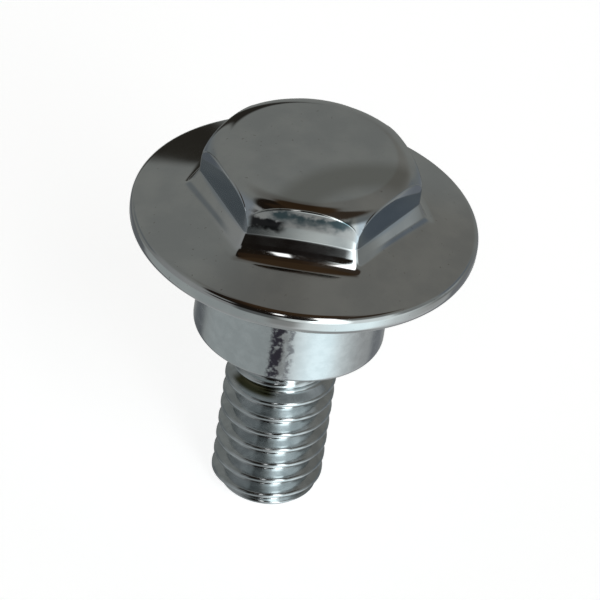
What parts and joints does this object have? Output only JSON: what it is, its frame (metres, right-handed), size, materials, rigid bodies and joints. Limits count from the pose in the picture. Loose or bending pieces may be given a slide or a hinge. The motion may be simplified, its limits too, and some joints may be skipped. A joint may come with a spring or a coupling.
{
  "type": "flanged shoulder bolt",
  "caption": "Chromed steel bolt with a crowned hexagon head on a round conical flange, a plain bearing shoulder and a short metric thread with a chamfered end.",
  "frame": {"origin": "centre of the flange's seat, where the shoulder begins", "axes": "+Z along the bolt's axis, from the thread towards the head; two of the hexagon's corners lie along X, so one flat faces -Y"},
  "size_m": [0.018, 0.018, 0.0212],
  "materials": {
    "chrome": "bright chrome plating over steel"
  },
  "bodies": {
    "root": {"bolt": "chrome"}
  },
  "joints": []
}
